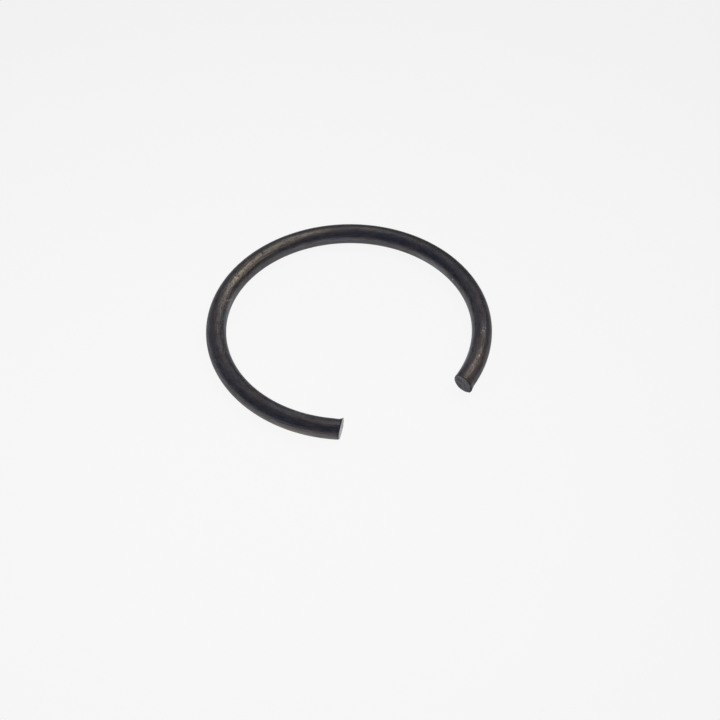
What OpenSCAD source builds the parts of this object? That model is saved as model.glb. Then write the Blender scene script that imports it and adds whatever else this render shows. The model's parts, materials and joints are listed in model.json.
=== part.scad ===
/* [Wire] */
// Diameter of the round spring wire
wire_d = 2; // [1.6:0.05:2.4]

/* [Ring] */
// Outside diameter of the coiled ring when nothing squeezes it
ring_d = 28.4; // [26:0.1:36]
// Angle between the middles of the two cut ends, seen from the ring's centre
gap_a = 57.9; // [20:0.1:90]

/* [Tail] */
// Angle of the flatter tail at the right end, seen from the ring's centre
tail_a = 35.1; // [5:0.1:60]
// How much larger the bend radius is along the tail than round the ring
tail_slack = 0.79; // [0:0.01:2]

/* [Sheared ends] */
// Angle by which the cutter left each face off square
shear_a = 10; // [0:0.5:20]
// Height of the burr lip above the wire, on the long side of the cut
burr_h = 0.14; // [0.06:0.01:0.24]
// Radius of the hollow flare that leads up to the burr lip
flare_r = 1.4; // [0.8:0.1:2.4]
// Radius of the edge that the cutter rolled over, on the short side of the cut
roll_r = 0.4; // [0.2:0.05:0.6]
// Offset of the rolled edge's centre, which sets how far round the wire it spreads
roll_offset = 0.35; // [0.2:0.05:0.6]

/* [Hidden] */
wire_colour = "#413d3c";
section_fn = 72;
coil_fn = 288;

wire_r = wire_d / 2;
ring_r = ring_d / 2 - wire_r;
tail_r = ring_r + tail_slack;

// The ring is built from where the tail begins, and then turned so that its gap faces -Y
ring_turn = 360 - gap_a - tail_a;
tail_turn = tail_a - asin(tail_slack * sin(tail_a) / tail_r);
tail_start = gap_a / 2 + tail_a - 90;

// Length of wire that each end has past its cut until it is sheared off
stock_l = wire_r;

// Depth by which the end curves cross the surfaces that they lead into
bite = 0.03;

// The burr lip's tip, along the wire from the middle of the cut face
burr_tip = (wire_r + burr_h) * tan(shear_a);
flare_rise = burr_h + bite;
flare_length = sqrt(flare_r * flare_r - (flare_r - flare_rise) * (flare_r - flare_rise));

// Reach of the rolled edge's tool from its own centre
roll_reach = roll_offset + wire_r / cos(shear_a) + roll_r * tan(shear_a) + bite;

// Degrees of a bend that a length of wire takes up
function bend_angle(length, bend_r) = length / bend_r * 180 / PI;

// Wire bent about the Z axis, from the +X direction on, with stock past its cut
module bent_wire(bend_r, turn) {
    rotate_extrude(angle = turn + bend_angle(stock_l, bend_r), $fn = coil_fn)
        translate([bend_r, 0])
            circle(r = wire_r, $fn = section_fn);
}

// Stands on the end of a bent wire, with +Y off the end and +X away from the bend's centre
module at_wire_end(bend_r, turn) {
    rotate([0, 0, turn])
        translate([bend_r, 0, 0])
            children();
}

// The tail leaves the ring at +X, the other way round, about a centre of its own
module in_tail() {
    translate([-tail_slack, 0, 0])
        mirror([0, 1, 0])
            children();
}

// Both end frames have +Y off the end and +X towards the long side of the cut
module at_left_end() {
    at_wire_end(ring_r, ring_turn)
        mirror([1, 0, 0])
            children();
}

module at_right_end() {
    in_tail()
        at_wire_end(tail_r, tail_turn)
            children();
}

// The coiled wire and its flatter tail, before the cuts
module coiled_wire() {
    bent_wire(ring_r, ring_turn);
    in_tail()
        bent_wire(tail_r, tail_turn);
}

// Flared collar, set off the wire's axis so that it stands out on the long side only
module burr_collar() {
    translate([burr_h, burr_tip - flare_length, 0])
        rotate([-90, 0, 0])
            rotate_extrude($fn = section_fn)
                difference() {
                    square([wire_r + burr_h, flare_length + burr_h]);
                    translate([wire_r - flare_rise + flare_r, 0])
                        circle(r = flare_r, $fn = coil_fn);
                }
}

// Block that takes off everything past the slanted cut face
module shear_block() {
    rotate([0, 0, shear_a])
        translate([-wire_d, 0, -wire_d])
            cube([2 * wire_d, 2 * stock_l, 2 * wire_d]);
}

// Ring-shaped tool, square to the cut face, that rounds the edge on the short side
module roll_tool() {
    rotate([0, 0, shear_a])
        translate([roll_offset, bite - roll_r, 0])
            rotate([-90, 0, 0])
                rotate_extrude($fn = section_fn)
                    difference() {
                        translate([roll_reach - roll_r, 0])
                            square([roll_r + wire_r, roll_r + bite]);
                        translate([roll_reach - roll_r, 0])
                            circle(r = roll_r, $fn = section_fn);
                    }
}

// Takes away what the cutter took from one end
module shear_tools() {
    shear_block();
    roll_tool();
}

// Spring ring with both ends as the cutter left them
module retaining_ring() {
    color(wire_colour)
        rotate([0, 0, tail_start])
            difference() {
                union() {
                    coiled_wire();
                    at_left_end()
                        burr_collar();
                    at_right_end()
                        burr_collar();
                }
                at_left_end()
                    shear_tools();
                at_right_end()
                    shear_tools();
            }
}

retaining_ring();
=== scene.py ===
"""An open ring of round spring wire, blackened and oiled, as it lies on a pale table.

The ring is one length of wire: coiled, a little flatter along its last stretch, and
sheared off at both ends. It is modelled along its own bend, and its surface patterns
follow the wire as it was before it was coiled.
"""

import json
from math import atan2, ceil, cos, hypot, pi, radians, sin, sqrt, tan
from typing import NamedTuple

import bmesh
import bpy
from bpy.props import FloatProperty, FloatVectorProperty, PointerProperty
from mathutils import Matrix, Vector, noise


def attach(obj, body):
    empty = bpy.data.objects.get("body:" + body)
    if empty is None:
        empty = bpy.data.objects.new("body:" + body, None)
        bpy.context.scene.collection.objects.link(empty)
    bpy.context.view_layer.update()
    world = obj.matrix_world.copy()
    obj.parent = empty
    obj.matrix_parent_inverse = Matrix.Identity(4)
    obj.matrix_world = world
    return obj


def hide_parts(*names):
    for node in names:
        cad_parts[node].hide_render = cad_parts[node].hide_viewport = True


bl_info = {
    "name": "Wire Retaining Ring",
    "version": (1, 0, 0),
    "blender": (4, 5, 0),
    "location": "3D View > Sidebar > Retaining Ring",
    "description": "Builds a blackened wire retaining ring and its studio",
    "category": "Add Mesh",
}

MM = 0.001
NODE = "retaining_ring"

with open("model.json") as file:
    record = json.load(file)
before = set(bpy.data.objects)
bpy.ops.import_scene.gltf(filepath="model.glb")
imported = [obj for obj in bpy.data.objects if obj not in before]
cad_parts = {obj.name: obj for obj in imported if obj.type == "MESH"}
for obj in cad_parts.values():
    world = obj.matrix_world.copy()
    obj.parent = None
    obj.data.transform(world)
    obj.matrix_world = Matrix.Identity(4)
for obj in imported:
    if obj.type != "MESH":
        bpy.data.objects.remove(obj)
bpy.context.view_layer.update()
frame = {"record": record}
SEAT = next(m for m in frame["record"]["mounts"] if m["name"] == "groove_seat")

# Spacing of the mesh's rings along the wire, its sides round it, and cuts added under nicks
RING_STEP = 0.3 * MM
SECTION_SIDES = 96
NICK_CUTS = 7

# Each wire end is shaped over this last length, in rings that close up towards its face
END_REACH = 1.2 * MM
END_RINGS = 24
END_CLOSING = 1.6
CORNER_RINGS = 7
FACE_RINGS = 16

# Vertices closer than this, where the ring and its tail meet, are merged
MERGE_DISTANCE = 0.001 * MM

# Brings a dent to a depth of 1 at its deepest place
DENT_PEAK = 27 / 4

# Where the rolled edge sets in and where it would be full, as shares of the short side
ROLL_FROM = 0.45
ROLL_FULL = 1.1

# How closely a burr keeps to the long side, and how hollow the flare up to it is
BURR_CLOSENESS = 1.3
FLARE_HOLLOW = 1.2

# Unevenness of a burr's lip, with the scale and the place of its noise
LIP_UNEVENNESS = 0.35
LIP_NOISE_SCALE = 3.0
LIP_SEED = 7.0

# Across a cut face, from -1 to 1: smooth up to the first place, all torn from the second on
SMOOTH_UP_TO = -0.55
TORN_FROM = -0.1

# The torn part's grain: its size, how finer grain falls off, and the place of its noise
GRAIN_SIZE = 0.22 * MM
GRAIN_FALL = 0.8
GRAIN_STEP = 2.0
GRAIN_OCTAVES = 3
GRAIN_PLACE = 5.0
GRAIN_SEED = 9.0

# The torn part rises towards its rim: from and to these shares of the wire's radius, and by how
# many times the fracture's depth
RISE_FROM = 0.75
RISE_FULL = 1.1
RISE_HEIGHT = 2.0

# Length of wire behind a cut over which painted shade darkens it
PAINTED_SHADE_REACH = 0.23 * MM
# How much of it lies in the crease and on the burr, by the way the end's bend runs: 1 for the
# left end and -1 for the right
PAINTED_SHADE_SHARE = {1: 0.50, -1: 0.35}
LIP_PAINTED_SHADE = {1: 0.2, -1: 0.9}
# Its unevenness round the wire, with the scale and the place of its noise
PAINTED_SHADE_UNEVENNESS = 0.9
PAINTED_SHADE_NOISE_SCALE = 1.9
PAINTED_SHADE_SEED = 3.0

# An angle below this, in radians, counts as one that has gone all the way round
SEAM = -0.5

# Below the centre, what lies to the right of this share of the ring's radius is the tail
TAIL_SIDE = 0.3

# Height of the fine relief on the wire's side and on its cut faces
WIRE_RELIEF = 0.020 * MM
CUT_RELIEF = 0.05 * MM

# How much less rough handling left the wire where it rubbed it
POLISH = 0.16

# Place along the wire, in millimetres, from which on a cut face is wholly the left one
LEFT_FROM = 50.0


def linear(hex_colour):
    """An sRGB hex colour as linear red, green and blue."""
    levels = [int(hex_colour[i : i + 2], 16) / 255 for i in (1, 3, 5)]
    return [v / 12.92 if v <= 0.04045 else ((v + 0.055) / 1.055) ** 2.4 for v in levels]


def size(name, description, default):
    """A length in metres."""
    return FloatProperty(
        name=name,
        description=description,
        default=default,
        precision=5,
        subtype="DISTANCE",
        unit="LENGTH",
    )


def angle(name, description, default):
    """An angle, given in degrees."""
    return FloatProperty(
        name=name,
        description=description,
        default=radians(default),
        subtype="ANGLE",
        unit="ROTATION",
    )


def colour(name, description, default):
    """A colour, given as sRGB hex."""
    return FloatVectorProperty(
        name=name,
        description=description,
        default=linear(default),
        subtype="COLOR",
        min=0.0,
        max=1.0,
    )


class RingSizes(bpy.types.PropertyGroup):
    """Sizes of the coiled wire and its sheared ends."""

    ring_d: size("Ring", "Outside diameter of the free ring", 2 * SEAT["dims"]["r_mm"] * MM)
    wire_d: size("Wire", "Diameter of the round wire", SEAT["dims"]["length_mm"] * MM)
    gap: angle("Gap", "Angle between the middles of the cut ends", 57.9)
    tail: angle("Tail", "Angle of the flatter tail", 35.1)
    tail_slack: size("Tail slack", "Extra bend radius along the tail", 0.79 * MM)
    left_shear: angle("Left shear", "Angle of the left cut to a square cut", 10.0)
    left_lean: angle("Left lean", "Angle by which the left cut leans out at its top", 3.0)
    left_trim: size("Left trim", "How far back the left cut's middle lies", 0.052 * MM)
    left_burr_h: size("Left burr height", "Height of the left burr above the wire", 0.165 * MM)
    left_burr_l: size("Left burr length", "Length of the flare up to the left burr", 0.38 * MM)
    left_dip: size("Left dip", "Depth of the dip behind the left burr", 0.045 * MM)
    left_roll: size("Left rolled edge", "Edge radius on the left cut's short side", 0.22 * MM)
    right_shear: angle("Right shear", "Angle of the right cut to a square cut", 7.0)
    right_lean: angle("Right lean", "Angle by which the right cut leans out at its top", 4.5)
    right_trim: size("Right trim", "How far back the right cut's middle lies", -0.03 * MM)
    right_burr_h: size("Right burr height", "Height of the right burr above the wire", 0.145 * MM)
    right_burr_l: size("Right burr length", "Length of the flare up to the right burr", 0.66 * MM)
    right_dip: size("Right dip", "Depth of the dip behind the right burr", 0.0)
    right_roll: size("Right rolled edge", "Edge radius on the right cut's short side", 0.13 * MM)
    dip_l: size("Dip length", "Length of wire that a dip takes up", 1.1 * MM)
    crease_h: size("Crease depth", "Depth of the crease all round behind a cut", 0.015 * MM)
    crease_l: size("Crease length", "Length of wire that the crease takes up", 0.3 * MM)
    lip_r: size("Lip edge", "Edge radius of a cut outside its short side", 0.02 * MM)
    fracture: size("Fracture", "Depth of the torn part of a cut face", 0.012 * MM)


class WireFinish(bpy.types.PropertyGroup):
    """Colours of the blackened steel."""

    black: colour("Black", "Blue-black oxide", "#505056")
    brown: colour("Brown", "Clouds of browner oxide", "#555151")
    violet: colour("Violet", "Oxide with a violet-brown tone", "#60555a")
    # Painted shade: darkens the outer side and a dim stretch of the highlight
    dim_reflection: colour("Dim reflection", "Thickest oxide", "#2d2d2e")
    # Rubbed oxide, and a painted highlight: lightens the colour along the top where the lamps'
    # highlight falls
    rubbed: colour("Rubbed", "Oxide rubbed thin by handling", "#6c6965")
    pale: colour("Pale", "Oxide rubbed pale on the outside", "#8a847c")
    # Painted reflection of the table along the lower outside
    silvery: colour("Silvery", "Oxide rubbed silvery on the inside", "#77797e")
    # Painted reflection: lightens the inside and a few places on top
    worn: colour("Worn", "Steel that shows bare in specks and nicks", "#aaa7a5")
    # Painted shade: darkens the crease behind each cut, the wire next to the burrs and the dents
    # of nicks
    grime: colour("Painted shade", "Old oil and dirt in the crease behind a cut", "#262427")
    right_face: colour("Right cut face", "Blackened sheared face", "#3b3940")
    # Painted reflection: the left face is lighter than the right one because it mirrors the table
    # at a low angle
    left_face_painted_light: colour("Left cut face", "Sheared face with its black rubbed thin", "#6e6b70")


class StudioSettings(bpy.types.PropertyGroup):
    """The table, the lights and the camera."""

    table: colour("Table", "White table top", "#f6f6f6")
    window: colour("Window", "Colour of the window's light", "#fff9e3")
    lamp: colour("Lamp", "Colour of the lamp's light", "#ffd198")
    wall: colour("Wall", "Colour of the light off the wall behind", "#ffedd4")
    room: colour("Room", "Colour of the dim light from all round", "#cfddff")
    distance: size("Distance", "From the camera to where it aims", 150.1 * MM)
    azimuth: angle("Azimuth", "Direction of view, turned from +Y", -25.95)
    elevation: angle("Elevation", "Camera's height above the table", 48.56)
    roll: angle("Roll", "Turn of the picture", -0.41)


class Cut(NamedTuple):
    """How one end was cut: on its long side a burr stands out, on its short side it is rolled."""

    long_side: int
    shear: float
    lean: float
    trim: float
    burr_h: float
    burr_l: float
    dip: float
    roll: float


class Bend(NamedTuple):
    """A stretch of wire bent to one radius, from the +X direction on, up to its cut."""

    radius: float
    turn: float
    centre_x: float
    way: int
    cut: Cut


def cut_of(sizes, end, long_side):
    """The cut at the left or right end, from the sizes whose names begin with that end."""
    return Cut(long_side, *(getattr(sizes, end + "_" + name) for name in Cut._fields[1:]))


def bends(sizes):
    """The ring, and the flatter tail that leaves it the other way round."""
    ring_r = (sizes.ring_d - sizes.wire_d) / 2
    tail_r = ring_r + sizes.tail_slack
    lag = sizes.tail_slack * sin(sizes.tail) / tail_r
    tail_turn = sizes.tail - atan2(lag, sqrt(1 - lag * lag))
    left = cut_of(sizes, "left", -1)
    right = cut_of(sizes, "right", 1)
    ring = Bend(ring_r, 2 * pi - sizes.gap - sizes.tail, 0.0, 1, left)
    tail = Bend(tail_r, tail_turn, -sizes.tail_slack, -1, right)
    return ring, tail


def on_wire(bend, back, out, up):
    """The point that lies back from the end's middle along the wire, out from its axis and up."""
    at = bend.way * (bend.turn - back / bend.radius)
    reach = bend.radius + out
    return Vector((bend.centre_x + reach * cos(at), reach * sin(at), up))


def smooth_step(low, high, value):
    """0 below low, 1 above high, and a smooth rise between them."""
    t = min(1.0, max(0.0, (value - low) / (high - low)))
    return t * t * (3 - 2 * t)


def dent(span):
    """A dent's depth along its length: 0 at both ends, and 1 a third of the way in."""
    return DENT_PEAK * span * (1 - span) ** 2 if 0 < span < 1 else 0.0


class EndShape:
    """How one end was left by the cutter, at each place round the wire."""

    def __init__(self, sizes, bend):
        self.sizes = sizes
        self.bend = bend
        self.cut = bend.cut
        self.wire_r = sizes.wire_d / 2

    def long_share(self, around):
        """1 on the long side of the cut, -1 on the short side."""
        return cos(around) * self.cut.long_side

    def noise_round(self, around, scale, seed):
        """Smooth noise from -1 to 1 round the wire, different at each end."""
        place = Vector((scale * cos(around), scale * sin(around), seed * self.bend.way))
        return noise.noise(place)

    def ragged(self, around):
        """Unevenness of the torn lip, round 1."""
        return 1.0 + LIP_UNEVENNESS * self.noise_round(around, LIP_NOISE_SCALE, LIP_SEED)

    def cut_back(self, out, up):
        """Where the slanted cut lies, back from the end's middle."""
        slant = out * self.cut.long_side * tan(self.cut.shear)
        return self.cut.trim - up * tan(self.cut.lean) - slant

    def face_back(self, around):
        """Where the cut face meets the wire's side, back from the end's middle."""
        return self.cut_back(self.wire_r * cos(around), self.wire_r * sin(around))

    def rolled(self, around):
        """1 where the cutter rolled the edge over, on the short side, and 0 elsewhere."""
        return smooth_step(ROLL_FROM, ROLL_FULL, -self.long_share(around))

    def edge_radius(self, around):
        """The rolled edge is round on the short side and sharp elsewhere."""
        return self.sizes.lip_r + (self.cut.roll - self.sizes.lip_r) * self.rolled(around)

    def flare(self, around, depth):
        """Height of the burr above the wire at a depth behind the face."""
        near = max(0.0, 1.0 - depth / self.cut.burr_l)
        side = max(0.0, self.long_share(around)) ** BURR_CLOSENESS
        return self.cut.burr_h * side * self.ragged(around) * near**FLARE_HOLLOW

    def crease(self, around, depth):
        """Depth of the crease that the blade pressed in, and of the dip behind the burr."""
        side = max(0.0, self.long_share(around))
        dip = self.cut.dip * side * dent(depth / self.sizes.dip_l)
        sharp = 1 - self.rolled(around)
        crease = self.sizes.crease_h * sharp * dent(depth / self.sizes.crease_l)
        return dip + crease

    def grime(self, around, depth):
        """How much painted shade darkens the wire's side at a depth behind the face, in the crease
        and next to the burr.
        """
        way = self.bend.way
        uneven = self.noise_round(around, PAINTED_SHADE_NOISE_SCALE, PAINTED_SHADE_SEED)
        share = PAINTED_SHADE_SHARE[way] + PAINTED_SHADE_UNEVENNESS * uneven
        crease = min(1.0, max(0.0, share)) * dent(depth / PAINTED_SHADE_REACH)
        lip = LIP_PAINTED_SHADE[way] * max(0.0, self.long_share(around)) ** 2
        return max(crease, lip * max(0.0, 1 - depth / PAINTED_SHADE_REACH))

    def side_radius(self, around, depth):
        """Radius of the wire at a depth behind the face."""
        return self.wire_r + self.flare(around, depth) - self.crease(around, depth)

    def side_point(self, around, back):
        """A point on the wire's side, back from the end's middle."""
        radius = self.side_radius(around, back - self.face_back(around))
        return on_wire(self.bend, back, radius * cos(around), radius * sin(around))

    def corner_point(self, around, share):
        """A point on the rounded edge between the side, at share 0, and the face, at 1."""
        edge = self.edge_radius(around)
        depth = edge * (1 - sin(share * pi / 2))
        radius = self.side_radius(around, depth) - edge * (1 - cos(share * pi / 2))
        back = self.face_back(around) + depth
        return on_wire(self.bend, back, radius * cos(around), radius * sin(around))

    def face_point(self, around, share):
        """A point on the cut face, from its edge at share 1 to its middle at 0."""
        edge = self.edge_radius(around)
        radius = (self.side_radius(around, 0.0) - edge) * share
        out, up = radius * cos(around), radius * sin(around)
        return on_wire(self.bend, self.cut_back(out, up) - self.relief(out, up), out, up)

    def relief(self, out, up):
        """Height of the torn surface over the flat cut: none where the cutter slid."""
        across = out * self.cut.long_side / self.wire_r
        torn = smooth_step(SMOOTH_UP_TO, TORN_FROM, across)
        shift = Vector((GRAIN_PLACE, 0.0, GRAIN_SEED * self.bend.way))
        place = Vector((out, up, 0.0)) / GRAIN_SIZE + shift
        grain = noise.fractal(place, GRAIN_FALL, GRAIN_STEP, GRAIN_OCTAVES)
        outer = smooth_step(RISE_FROM, RISE_FULL, hypot(out, up) / self.wire_r)
        return self.sizes.fracture * (torn * grain + RISE_HEIGHT * outer * max(0.0, across))


def spin_back(bm, loop, bend):
    """Sweeps a loop of edges near the wire's end back to where the bend begins."""
    bmesh.ops.spin(
        bm,
        geom=loop + list({v for e in loop for v in e.verts}),
        cent=(bend.centre_x, 0.0, 0.0),
        axis=(0.0, 0.0, -bend.way),
        dvec=(0.0, 0.0, 0.0),
        angle=bend.turn - END_REACH / bend.radius,
        space=Matrix.Identity(4),
        steps=ceil((bend.turn * bend.radius - END_REACH) / RING_STEP),
        use_merge=False,
        use_normal_flip=False,
        use_duplicate=False,
    )


def next_loop(bm, loop, around_layer, place):
    """Extrudes a loop of edges and puts each new vertex where place says for its angle."""
    grown = bmesh.ops.extrude_edge_only(bm, edges=loop)["geom"]
    for v in grown:
        if isinstance(v, bmesh.types.BMVert):
            v.co = place(v[around_layer])
    faces = [f for f in grown if isinstance(f, bmesh.types.BMFace)]
    edges = [e for e in grown if isinstance(e, bmesh.types.BMEdge)]
    fresh = {v for v in grown if isinstance(v, bmesh.types.BMVert)}
    return [e for e in edges if all(v in fresh for v in e.verts)], faces


def shape_end(bm, loop, around_layer, sizes, bend):
    """Carries the wire on to its cut: the flare, the edge, and the face closed to its middle."""
    end = EndShape(sizes, bend)
    for i in range(1, END_RINGS + 1):
        share = 1 - (1 - i / END_RINGS) ** END_CLOSING

        def on_side(around, share=share):
            stop = end.face_back(around) + end.edge_radius(around)
            return end.side_point(around, END_REACH + (stop - END_REACH) * share)

        loop, _ = next_loop(bm, loop, around_layer, on_side)
    for i in range(1, CORNER_RINGS + 1):
        share = i / CORNER_RINGS
        loop, _ = next_loop(bm, loop, around_layer, lambda a, s=share: end.corner_point(a, s))
    cut = []
    for i in range(1, FACE_RINGS):
        share = 1 - i / FACE_RINGS
        loop, faces = next_loop(bm, loop, around_layer, lambda a, s=share: end.face_point(a, s))
        cut += faces
    middle = bmesh.ops.edgeloop_fill(bm, edges=loop)["faces"]
    cut += bmesh.ops.poke(bm, faces=middle)["faces"]
    for face in cut:
        face.material_index = 1


def straightened(point, bend):
    """Where a point of the bent wire lay in the straight wire: along it, and across it."""
    rel_x = point.x - bend.centre_x
    at = atan2(point.y * bend.way, rel_x)
    if at < SEAM:
        at += 2 * pi
    out = hypot(rel_x, point.y) - bend.radius
    return Vector((at * bend.radius * bend.way, out, point.z))


class Nick(NamedTuple):
    """A small dent in the wire: its place along it in millimetres and round it in degrees.

    The length and width are half of what the dent takes up, in millimetres. The slant is
    how far it shifts along the wire for each millimetre round it.
    """

    along: float
    around: float
    length: float
    width: float
    depth: float
    grime: float = 0.0
    bare: float = 0.0
    slant: float = 0.0


# Nicks from handling, mostly along the rubbed top of the ring, and one slanted bare scratch. The
# darkening that some of them carry is painted shade in the dent.
NICKS = (
    Nick(30.71, 101.0, 0.14, 0.42, 0.024, grime=0.6),
    Nick(31.0, 101.0, 0.12, 0.36, 0.006, bare=0.1),
    Nick(34.75, 113.0, 0.20, 0.26, 0.034, grime=0.7),
    Nick(34.95, 96.0, 0.14, 0.30, 0.020, grime=0.5),
    Nick(35.25, 106.0, 0.14, 0.34, 0.008, bare=0.2),
    Nick(36.40, 106.0, 0.08, 0.40, 0.008, bare=0.2),
    Nick(38.60, 108.0, 0.12, 0.30, 0.020, grime=0.4),
    Nick(38.15, 142.0, 0.10, 0.50, 0.012, bare=1.5, slant=-1.39),
    Nick(6.94, 167.0, 0.14, 0.16, 0.016, bare=1.0),
    Nick(-4.38, 78.0, 0.16, 0.14, 0.014),
    Nick(-4.96, 74.0, 0.18, 0.12, 0.014),
    Nick(-7.72, 118.0, 0.14, 0.20, 0.026, grime=1.0),
    Nick(-7.95, 60.0, 0.14, 0.20, 0.026, grime=1.0),
    Nick(59.6, -6.0, 0.55, 0.08, 0.022, grime=0.8),
    Nick(58.4, -16.0, 0.40, 0.07, 0.018, grime=0.8),
)


def press_nicks(bm, straight, grime, bare, bend_of, wire_r):
    """Presses the nicks into the wire's side, where it first adds rings to the mesh."""

    def near_nick(v):
        for nick in NICKS:
            reach = nick.length + abs(nick.slant) * nick.width + RING_STEP / MM
            if abs(v[straight].x - nick.along) < reach:
                return True
        return False

    near = {v for v in bm.verts if near_nick(v)}
    lengthwise = []
    for edge in {e for v in near for e in v.link_edges if e.other_vert(v) in near}:
        first, second = edge.verts
        if abs(first[straight].x - second[straight].x) > RING_STEP / MM / 2:
            lengthwise.append(edge)
    bmesh.ops.subdivide_edges(bm, edges=lengthwise, cuts=NICK_CUTS, use_grid_fill=False)
    for nick in NICKS:
        for v in bm.verts:
            place = v[straight]
            if abs(place.x - nick.along) > nick.length + abs(nick.slant) * nick.width:
                continue
            turn = (atan2(place.z, place.y) - radians(nick.around) + pi) % (2 * pi) - pi
            aside = turn * wire_r / MM
            span = (place.x - nick.along - nick.slant * aside) / nick.length
            reach = hypot(span, aside / nick.width)
            if reach < 1:
                bend = bend_of(v.co)
                outward = Vector((v.co.x - bend.centre_x, v.co.y, 0)).normalized() * place.y
                outward.z = place.z
                share = (1 - reach * reach) ** 2
                v.co -= outward.normalized() * nick.depth * MM * share
                # Painted shade in the dent
                v[grime] = max(v[grime], nick.grime * share)
                v[bare] = max(v[bare], nick.bare * share)


def build_wire(bm, sizes):
    """The whole ring, with its gap towards -Y.

    Its vertices carry where they lay in the straight wire, in millimetres, how much painted
    shade darkens them, and how bare they are.
    """
    ring, tail = bends(sizes)
    wire_r = sizes.wire_d / 2
    around = bm.verts.layers.float.new("around")
    straight = bm.verts.layers.float_vector.new("straight_wire")
    grime = bm.verts.layers.float.new("grime")
    bare = bm.verts.layers.float.new("bare")
    loops = []
    for bend in (ring, tail):
        made = bmesh.ops.create_circle(bm, segments=SECTION_SIDES, radius=wire_r)["verts"]
        for v in made:
            v[around] = atan2(v.co.y, v.co.x)
            v.co = on_wire(bend, END_REACH, v.co.x, v.co.y)
        loops.append((bend, list({e for v in made for e in v.link_edges})))
    for bend, loop in loops:
        shape_end(bm, loop, around, sizes, bend)
    for bend, loop in loops:
        spin_back(bm, loop, bend)
    bmesh.ops.remove_doubles(bm, verts=bm.verts, dist=MERGE_DISTANCE)

    def bend_of(point):
        return tail if point.y < 0 and point.x > ring.radius * TAIL_SIDE else ring

    for v in bm.verts:
        v[straight] = straightened(v.co, bend_of(v.co)) / MM
    # Painted shade in the crease behind each cut and next to its burr
    for bend in (ring, tail):
        end = EndShape(sizes, bend)
        length = bend.radius * bend.turn
        for v in bm.verts:
            back = length - v[straight].x * bend.way * MM
            if back < END_REACH:
                v[grime] = end.grime(v[around], back - end.face_back(v[around]))
    press_nicks(bm, straight, grime, bare, bend_of, wire_r)
    bmesh.ops.recalc_face_normals(bm, faces=bm.faces)
    start_turn = sizes.gap / 2 + sizes.tail - pi / 2
    turned = Matrix.Rotation(start_turn, 3, "Z")
    bmesh.ops.rotate(bm, cent=(0, 0, 0), matrix=turned, verts=bm.verts)
    for face in bm.faces:
        face.smooth = True


def add_node(tree, kind, inputs=None, **settings):
    """Adds a node with its settings, and sets its inputs.

    A socket or a node that is given for an input is linked to it, a node from the first
    output that it has in use.
    """
    node = tree.nodes.new(kind)
    for name, value in settings.items():
        setattr(node, name, value)
    for name, value in (inputs or {}).items():
        socket = node.inputs[name]
        if isinstance(value, bpy.types.Node):
            value = next(output for output in value.outputs if output.enabled)
        if isinstance(value, bpy.types.NodeSocket):
            tree.links.new(value, socket)
        else:
            socket.default_value = value
    return node


def opaque(rgb):
    """A colour property's value with full alpha."""
    return (*rgb, 1.0)


def new_material(name):
    """An empty node material and its tree."""
    material = bpy.data.materials.new(name)
    material.use_nodes = True
    material.node_tree.nodes.clear()
    return material, material.node_tree


class Patch(NamedTuple):
    """A place on the wire, along it in millimetres and round it in degrees.

    The length and width are how far the patch reaches from there, in millimetres.
    """

    along: float
    around: float
    length: float
    width: float
    strength: float = 1.0


# Where handling rubbed the black thin and polished it; the lighter colour there is also a painted
# highlight along the top of the wire, where the lamps' highlight falls
RUBBED_AND_HIGHLIGHT = (
    Patch(35.2, 101.0, 7.5, 0.90, 1.1),
    Patch(33.0, 140.0, 7.0, 0.60),
    Patch(27.0, 98.0, 7.0, 0.60, 0.9),
    Patch(43.0, 115.0, 8.0, 0.66, 0.9),
    Patch(18.0, 95.0, 6.0, 0.50, 0.5),
    Patch(-6.4, 80.0, 2.0, 0.44, 0.9),
)
# Where it turned towards violet, near the right end and at the far left
VIOLET = (
    Patch(-5.8, 118.0, 4.0, 0.80),
    Patch(-6.4, 80.0, 2.5, 0.50, 0.5),
    Patch(-5.0, 45.0, 3.0, 0.60, 0.6),
    Patch(2.0, 75.0, 5.0, 0.55, 0.5),
    Patch(35.0, 65.0, 11.0, 0.70, 0.35),
    Patch(42.0, 100.0, 5.0, 0.50, 0.6),
)
# Painted shade: darker colour on the outer and upper outer side, where the wire mirrors the dark
# room low down, and on the top near the right end, where the highlight is dimmer
DIM_REFLECTION = (
    Patch(9.5, 48.0, 12.0, 1.20),
    Patch(0.6, 82.0, 2.0, 0.60, 0.45),
    Patch(42.0, 12.0, 7.0, 0.80, 0.8),
    Patch(7.0, 38.0, 4.5, 0.60, 0.5),
)
# Where it wore through in specks
WORN = (
    Patch(-1.6, 82.0, 0.95, 0.60),
    Patch(-4.6, 73.0, 1.5, 0.26, 0.7),
)
# Painted reflection: paler colour along the lower outside, where the wire mirrors the bright table
PALE_REFLECTION = (Patch(56.0, -28.0, 16.0, 1.25),)
# Painted reflection: lighter, silvery colour along the inside and at a few places on top, where
# the wire mirrors the table and the lamps
SILVERY_REFLECTION = (
    Patch(0.5, 166.0, 9.0, 1.20),
    Patch(-5.6, 140.0, 6.5, 1.05),
    Patch(10.0, 182.0, 6.0, 0.60),
    Patch(24.0, 170.0, 14.0, 0.45, 0.25),
    Patch(39.0, 158.0, 6.0, 0.65, 1.3),
    Patch(46.0, 125.0, 8.0, 0.70, 0.5),
    Patch(41.5, 134.0, 4.5, 0.50, 0.6),
    Patch(42.0, 50.0, 6.0, 0.50, 0.5),
    Patch(47.0, 35.0, 9.0, 0.90, 0.3),
    Patch(57.0, 108.0, 9.0, 0.50, 0.7),
)


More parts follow.
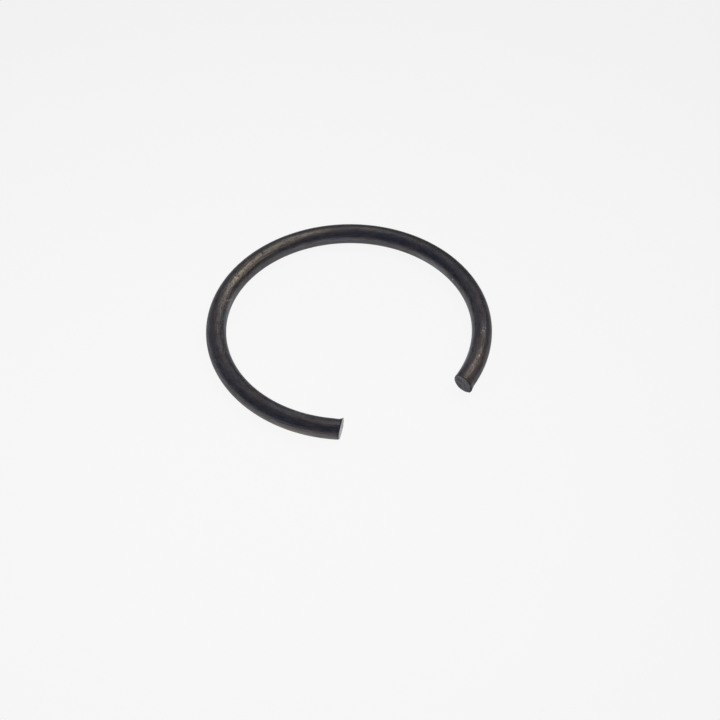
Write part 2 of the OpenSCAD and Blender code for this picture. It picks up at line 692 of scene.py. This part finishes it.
def patches(tree, wire, spots):
    """The strength of each patch in its middle, fading to 0 at its edge."""
    total = 0.0
    for spot in spots:
        turn = radians(spot.around)
        middle = (spot.along, cos(turn), sin(turn))
        away = add_node(tree, "ShaderNodeVectorMath", {0: wire, 1: middle}, operation="SUBTRACT")
        reach = (spot.length, spot.width, spot.width)
        scaled = add_node(tree, "ShaderNodeVectorMath", {0: away, 1: reach}, operation="DIVIDE")
        fade = add_node(
            tree,
            "ShaderNodeTexGradient",
            {"Vector": scaled},
            gradient_type="QUADRATIC_SPHERE",
        ).outputs["Fac"]
        total = add_node(
            tree,
            "ShaderNodeMath",
            {0: fade, 1: spot.strength, 2: total},
            operation="MULTIPLY_ADD",
        )
    return total


def blackened_wire(finish):
    """Spring steel wire, cold drawn, blackened and oiled.

    The thin oxide is dark and half glossy: bright only where it mirrors a lamp or is
    seen at a low angle. It is finely mottled, drawing left lines along the wire, and
    handling rubbed it thin and wore it through in specks. Its colour also holds painted
    light: a painted highlight along the top, painted reflections of the table on the
    lower outside and the inside, and painted shade on the upper outside, in the creases
    behind the cuts and in nicks.
    """
    material, tree = new_material("blackened_drawn_spring_steel")
    wire = add_node(tree, "ShaderNodeAttribute", attribute_name="straight_wire").outputs["Vector"]

    # Clouds of browner oxide, 3 mm long and 0.7 mm wide
    lengthwise = add_node(tree, "ShaderNodeMapping", {"Vector": wire, "Scale": (0.25, 1.0, 1.0)})
    clouds = add_node(
        tree,
        "ShaderNodeTexNoise",
        {"Vector": lengthwise, "Scale": 1.4, "Detail": 3.0, "Roughness": 0.5},
    )
    # Mottling 0.2 mm across, which is about as fine as shows at this distance, and 1 mm long
    drawn_out = add_node(tree, "ShaderNodeMapping", {"Vector": wire, "Scale": (0.22, 1.0, 1.0)})
    mottling = add_node(
        tree,
        "ShaderNodeTexNoise",
        {"Vector": drawn_out, "Scale": 4.5, "Detail": 3.0, "Roughness": 0.6},
    )
    brownness = add_node(
        tree,
        "ShaderNodeMapRange",
        {"Value": clouds, "From Min": 0.4, "From Max": 0.6},
    )
    colour = add_node(
        tree,
        "ShaderNodeMix",
        {"Factor": brownness, 6: opaque(finish.black), 7: opaque(finish.brown)},
        data_type="RGBA",
    )
    uneven = add_node(
        tree,
        "ShaderNodeMapRange",
        {"Value": mottling, "From Min": 0.3, "From Max": 0.55, "To Min": 0.5},
    )
    # Rubbed and polished oxide, whose lighter colour is also a painted highlight along the top
    rubbing_and_highlight = patches(tree, wire, RUBBED_AND_HIGHLIGHT)
    rubbing_and_highlight = add_node(tree, "ShaderNodeMath", {0: rubbing_and_highlight, 1: uneven}, operation="MULTIPLY")
    # Bare specks 0.12 mm across
    specks = add_node(tree, "ShaderNodeTexNoise", {"Vector": wire, "Scale": 8.0, "Detail": 2.0})
    speckle = add_node(
        tree,
        "ShaderNodeMapRange",
        {"Value": specks, "From Min": 0.55, "From Max": 0.62, "To Max": 1.6},
    )
    wear = patches(tree, wire, WORN)
    scratches = add_node(tree, "ShaderNodeAttribute", attribute_name="bare").outputs["Fac"]
    wear = add_node(
        tree,
        "ShaderNodeMath",
        {0: wear, 1: speckle, 2: scratches},
        operation="MULTIPLY_ADD",
        use_clamp=True,
    )
    # Painted shade in creases and nicks
    painted_shade_amount = add_node(tree, "ShaderNodeAttribute", attribute_name="grime").outputs["Fac"]
    # Colour layers: rubbed oxide with a painted highlight, violet tone, painted shade on the
    # outside, painted reflections on the lower outside and the inside, bare wear, and painted
    # shade in creases and nicks
    layers = (
        (rubbing_and_highlight, finish.rubbed),
        (patches(tree, wire, VIOLET), finish.violet),
        (patches(tree, wire, DIM_REFLECTION), finish.dim_reflection),
        (patches(tree, wire, PALE_REFLECTION), finish.pale),
        (patches(tree, wire, SILVERY_REFLECTION), finish.silvery),
        (wear, finish.worn),
        (painted_shade_amount, finish.grime),
    )
    for amount, tone in layers:
        colour = add_node(
            tree,
            "ShaderNodeMix",
            {"Factor": amount, 6: colour, 7: opaque(tone)},
            data_type="RGBA",
        )
    depth = add_node(
        tree,
        "ShaderNodeMapRange",
        {"Value": mottling, "From Min": 0.25, "From Max": 0.75, "To Min": 0.68, "To Max": 1.32},
    )
    colour = add_node(tree, "ShaderNodeVectorMath", {0: colour, "Scale": depth}, operation="SCALE")

    # Drawing lines 0.1 mm apart and up to 2 mm long
    drawn = add_node(tree, "ShaderNodeMapping", {"Vector": wire, "Scale": (0.06, 1.0, 1.0)})
    lines = add_node(tree, "ShaderNodeTexNoise", {"Vector": drawn, "Scale": 9.0, "Detail": 2.0})
    # Oxide grains 0.25 mm across, drawn out like the mottling, which also vary the gloss
    grains = add_node(
        tree,
        "ShaderNodeTexNoise",
        {"Vector": drawn_out, "Scale": 4.0, "Detail": 4.0, "Roughness": 0.6},
    )
    height = add_node(
        tree,
        "ShaderNodeMath",
        {0: lines, 1: 1.4, 2: grains},
        operation="MULTIPLY_ADD",
    )
    # Pits 0.15 mm across, few and far between
    pit_noise = add_node(tree, "ShaderNodeTexNoise", {"Vector": wire, "Scale": 7.0, "Detail": 1.0})
    pits = add_node(
        tree,
        "ShaderNodeMapRange",
        {"Value": pit_noise, "From Min": 0.30, "From Max": 0.38, "To Min": -0.8, "To Max": 0.0},
    )
    height = add_node(tree, "ShaderNodeMath", {0: height, 1: pits}, operation="ADD")
    bump = add_node(tree, "ShaderNodeBump", {"Height": height, "Distance": WIRE_RELIEF})
    gloss = add_node(
        tree,
        "ShaderNodeMapRange",
        {"Value": grains, "From Min": 0.3, "From Max": 0.7, "To Min": 0.33, "To Max": 0.43},
    )
    # Handling polished what it rubbed
    gloss = add_node(
        tree,
        "ShaderNodeMath",
        {0: rubbing_and_highlight, 1: -POLISH, 2: gloss},
        operation="MULTIPLY_ADD",
    )
    shader = add_node(
        tree,
        "ShaderNodeBsdfPrincipled",
        {
            "Base Color": colour,
            "Metallic": 1.0,
            "Roughness": gloss,
            "Specular Tint": (0.72, 0.72, 0.72, 1.0),
            "Normal": bump,
        },
    )
    add_node(tree, "ShaderNodeOutputMaterial", {"Surface": shader})
    return material


def blackened_cut(finish):
    """The wire's sheared face, blackened with the rest.

    The cutter dragged lines across it, and past them the steel tore, so that it is
    mottled light and dark. The left one is painted lighter, as a painted reflection of the
    table that it mirrors at a low angle, and the rim carries a painted highlight above
    and painted shade underneath.
    """
    material, tree = new_material("blackened_sheared_face")
    wire = add_node(tree, "ShaderNodeAttribute", attribute_name="straight_wire").outputs["Vector"]
    # Mottling 0.2 mm across
    mottling = add_node(
        tree,
        "ShaderNodeTexNoise",
        {"Vector": wire, "Scale": 4.5, "Detail": 3.0, "Roughness": 0.6},
    )
    # Steps 0.25 mm apart that the cutter's stroke left across the face
    stroke = add_node(
        tree,
        "ShaderNodeMapping",
        {"Vector": wire, "Rotation": (radians(12.0), 0.0, 0.0), "Scale": (1.0, 4.0, 1.0)},
    )
    lines = add_node(tree, "ShaderNodeTexNoise", {"Vector": stroke, "Scale": 1.0, "Detail": 2.0})
    shade = add_node(tree, "ShaderNodeMath", {0: mottling, 1: lines}, operation="ADD")
    # Broad light and dark places 0.6 mm across
    broad = add_node(tree, "ShaderNodeTexNoise", {"Vector": wire, "Scale": 1.7, "Detail": 1.0})
    shade = add_node(
        tree,
        "ShaderNodeMath",
        {0: broad, 1: 1.1, 2: shade},
        operation="MULTIPLY_ADD",
    )
    # The left cut lies furthest along the wire
    along = add_node(tree, "ShaderNodeSeparateXYZ", {0: wire}).outputs["X"]
    leftness = add_node(tree, "ShaderNodeMapRange", {"Value": along, "From Max": LEFT_FROM})
    depth = add_node(
        tree,
        "ShaderNodeMapRange",
        {"Value": shade, "From Min": 1.2, "From Max": 1.9, "To Min": 0.6, "To Max": 1.4},
    )
    # Painted highlight and painted shade on the rim: brighter above and on the ring's inside,
    # darker underneath
    across = add_node(
        tree,
        "ShaderNodeVectorMath",
        {0: wire, 1: (0.0, 1.0, 1.0)},
        operation="MULTIPLY",
    )
    from_middle = add_node(
        tree,
        "ShaderNodeVectorMath",
        {0: across},
        operation="LENGTH",
    ).outputs["Value"]
    rim = add_node(
        tree,
        "ShaderNodeMapRange",
        {"Value": from_middle, "From Min": 0.78, "From Max": 0.93},
    )
    upwards = add_node(
        tree,
        "ShaderNodeVectorMath",
        {0: wire, 1: (0.0, -0.6, 0.8)},
        operation="DOT_PRODUCT",
    ).outputs["Value"]
    rim_painted_light = add_node(
        tree,
        "ShaderNodeMapRange",
        {"Value": upwards, "From Min": -0.6, "From Max": 0.7, "To Min": -0.7, "To Max": 1.0},
    )
    painted_rim_factor = add_node(
        tree,
        "ShaderNodeMath",
        {0: rim, 1: rim_painted_light, 2: 1.0},
        operation="MULTIPLY_ADD",
    )
    depth = add_node(tree, "ShaderNodeMath", {0: depth, 1: painted_rim_factor}, operation="MULTIPLY")
    # The left face's colour is lighter: a painted reflection of the table it mirrors at a low
    # angle
    colour = add_node(
        tree,
        "ShaderNodeMix",
        {"Factor": leftness, 6: opaque(finish.right_face), 7: opaque(finish.left_face_painted_light)},
        data_type="RGBA",
    )
    colour = add_node(
        tree,
        "ShaderNodeVectorMath",
        {0: colour, "Scale": depth},
        operation="SCALE",
    )
    bump = add_node(tree, "ShaderNodeBump", {"Height": shade, "Distance": CUT_RELIEF})
    shader = add_node(
        tree,
        "ShaderNodeBsdfPrincipled",
        {"Base Color": colour, "Metallic": 1.0, "Roughness": 0.22, "Normal": bump},
    )
    add_node(tree, "ShaderNodeOutputMaterial", {"Surface": shader})
    return material


class RETAINING_RING_OT_add_wire(bpy.types.Operator):
    """Adds the coiled wire with its two sheared ends"""

    bl_idname = "retaining_ring.add_wire"
    bl_label = "Add Wire Ring"

    def execute(self, context):
        mesh = bpy.data.meshes.new("wire_ring")
        bm = bmesh.new()
        build_wire(bm, context.scene.ring_sizes)
        bm.to_mesh(mesh)
        bm.free()
        finish = context.scene.wire_finish
        mesh.materials.append(blackened_wire(finish))
        mesh.materials.append(blackened_cut(finish))
        ring = bpy.data.objects.new("wire_ring", mesh)
        context.scene.collection.objects.link(ring)
        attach(ring, "root")
        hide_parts(NODE)
        return {"FINISHED"}


# Size of the table top that the ring lies on
TABLE_WIDTH = 3.0
# Where it is brightest, how bright it is there, and how bright it is this far from there
BRIGHTEST_PLACE = (-0.018, -0.014, 0.0)
BRIGHTEST = 0.988
DIMMEST = 0.92
FALL_OFF = 0.11


def add_table(studio, height):
    """A white table top that glows by itself, brightest near the ring and a little dimmer further
    off, as a painted pool of light, so that the ring casts next to no shadow.
    """
    mesh = bpy.data.meshes.new("table_top")
    bm = bmesh.new()
    bmesh.ops.create_grid(bm, x_segments=1, y_segments=1, size=TABLE_WIDTH / 2)
    bmesh.ops.translate(bm, vec=(0, 0, height), verts=bm.verts)
    bm.to_mesh(mesh)
    bm.free()
    material, tree = new_material("white_table_top")
    place = add_node(tree, "ShaderNodeTexCoord").outputs["Object"]
    away = add_node(
        tree,
        "ShaderNodeVectorMath",
        {0: place, 1: BRIGHTEST_PLACE},
        operation="DISTANCE",
    ).outputs["Value"]
    light = add_node(
        tree,
        "ShaderNodeMapRange",
        {"Value": away, "From Max": FALL_OFF, "To Min": BRIGHTEST, "To Max": DIMMEST},
        interpolation_type="SMOOTHSTEP",
    )
    shader = add_node(
        tree,
        "ShaderNodeBsdfPrincipled",
        {
            "Base Color": (0.02, 0.02, 0.02, 1.0),
            "Roughness": 0.8,
            "Emission Color": opaque(studio.table),
            "Emission Strength": light,
        },
    )
    add_node(tree, "ShaderNodeOutputMaterial", {"Surface": shader})
    mesh.materials.append(material)
    table = bpy.data.objects.new("table_top", mesh)
    bpy.context.scene.collection.objects.link(table)


class Softbox(NamedTuple):
    """A soft round light, as the ring sees it: angles in degrees, brightness with white as 1."""

    name: str
    azimuth: float
    elevation: float
    spread: float
    brightness: float


# Azimuths count from +X towards +Y, and the spread is half the light's width
SOFTBOXES = (
    Softbox("window", 17.0, 61.0, 22.0, 1.69),
    Softbox("lamp", -13.0, 47.0, 29.0, 0.50),
    Softbox("wall", 93.0, 43.0, 33.0, 0.26),
)
SOFTBOX_DISTANCE = 0.5

# Brightness of the room overhead, and the height on its dome, from 0 to 1, below which it fades
ROOM_BRIGHTNESS = 0.32
ROOM_FADES_BELOW = 0.45


def add_softbox(box, rgb):
    """A round area light that faces the ring."""
    radius = SOFTBOX_DISTANCE * tan(radians(box.spread))
    lamp = bpy.data.lights.new(box.name, "AREA")
    lamp.shape = "DISK"
    lamp.size = 2 * radius
    # The power at which the disk itself looks as bright as that
    lamp.energy = box.brightness * pi * pi * radius * radius
    lamp.color = rgb
    light = bpy.data.objects.new(box.name, lamp)
    azimuth, elevation = radians(box.azimuth), radians(box.elevation)
    away = Vector((cos(azimuth) * cos(elevation), sin(azimuth) * cos(elevation), sin(elevation)))
    light.location = away * SOFTBOX_DISTANCE
    light.rotation_euler = away.to_track_quat("Z", "Y").to_euler()
    bpy.context.scene.collection.objects.link(light)


# Where the camera aims on the ring's middle plane: right of the centre and nearer than it
AIM_RIGHT = 1.07 * MM
AIM_NEARER = 4.53 * MM
# Focal length in millimetres
LENS = 76.95


def add_camera(studio):
    """A camera that looks down on the ring as the photograph does."""
    data = bpy.data.cameras.new("camera")
    data.lens = LENS
    data.sensor_width = 36.0
    data.clip_start = 0.01
    camera = bpy.data.objects.new("camera", data)
    turn = Matrix.Rotation(studio.azimuth, 4, "Z")
    aim = turn @ Vector((AIM_RIGHT, -AIM_NEARER, 0.0))
    tilt = Matrix.Rotation(pi / 2 - studio.elevation, 4, "X")
    roll = Matrix.Rotation(studio.roll, 4, "Z")
    back = Matrix.Translation((0.0, 0.0, studio.distance))
    camera.matrix_world = Matrix.Translation(aim) @ turn @ tilt @ roll @ back
    bpy.context.scene.collection.objects.link(camera)
    bpy.context.scene.camera = camera


def light_room(studio):
    """Dim light from above and all round, that fades out towards the horizon."""
    world = bpy.data.worlds.new("room")
    world.use_nodes = True
    tree = world.node_tree
    tree.nodes.clear()
    towards = add_node(tree, "ShaderNodeTexCoord").outputs["Generated"]
    height = add_node(tree, "ShaderNodeSeparateXYZ", {0: towards}).outputs["Z"]
    light = add_node(
        tree,
        "ShaderNodeMapRange",
        {"Value": height, "From Max": ROOM_FADES_BELOW, "To Max": ROOM_BRIGHTNESS},
        interpolation_type="SMOOTHSTEP",
    )
    sky = add_node(
        tree,
        "ShaderNodeBackground",
        {"Color": opaque(studio.room), "Strength": light},
    )
    add_node(tree, "ShaderNodeOutputWorld", {"Surface": sky})
    bpy.context.scene.world = world


class RETAINING_RING_OT_add_studio(bpy.types.Operator):
    """Adds the table, the lights and the camera"""

    bl_idname = "retaining_ring.add_studio"
    bl_label = "Add Studio"

    def execute(self, context):
        scene = context.scene
        studio = scene.studio_settings
        add_table(studio, -scene.ring_sizes.wire_d / 2)
        for box in SOFTBOXES:
            add_softbox(box, getattr(studio, box.name))
        light_room(studio)
        add_camera(studio)
        scene.view_settings.view_transform = "Standard"
        return {"FINISHED"}


class RETAINING_RING_PT_build(bpy.types.Panel):
    """Builds the ring and its studio"""

    bl_idname = "RETAINING_RING_PT_build"
    bl_label = "Retaining Ring"
    bl_space_type = "VIEW_3D"
    bl_region_type = "UI"
    bl_category = "Retaining Ring"

    def draw(self, context):
        layout = self.layout
        scene = context.scene
        for group in (scene.ring_sizes, scene.wire_finish, scene.studio_settings):
            column = layout.column()
            for name in group.__annotations__:
                column.prop(group, name)
        for operator in (RETAINING_RING_OT_add_wire, RETAINING_RING_OT_add_studio):
            layout.operator(operator.bl_idname)


CLASSES = (
    RingSizes,
    WireFinish,
    StudioSettings,
    RETAINING_RING_OT_add_wire,
    RETAINING_RING_OT_add_studio,
    RETAINING_RING_PT_build,
)


def register():
    for cls in CLASSES:
        bpy.utils.register_class(cls)
    bpy.types.Scene.ring_sizes = PointerProperty(type=RingSizes)
    bpy.types.Scene.wire_finish = PointerProperty(type=WireFinish)
    bpy.types.Scene.studio_settings = PointerProperty(type=StudioSettings)


def unregister():
    del bpy.types.Scene.studio_settings
    del bpy.types.Scene.wire_finish
    del bpy.types.Scene.ring_sizes
    for cls in reversed(CLASSES):
        bpy.utils.unregister_class(cls)


def main():
    register()
    bpy.ops.retaining_ring.add_wire()
    bpy.ops.retaining_ring.add_studio()


if __name__ == "__main__":
    main()
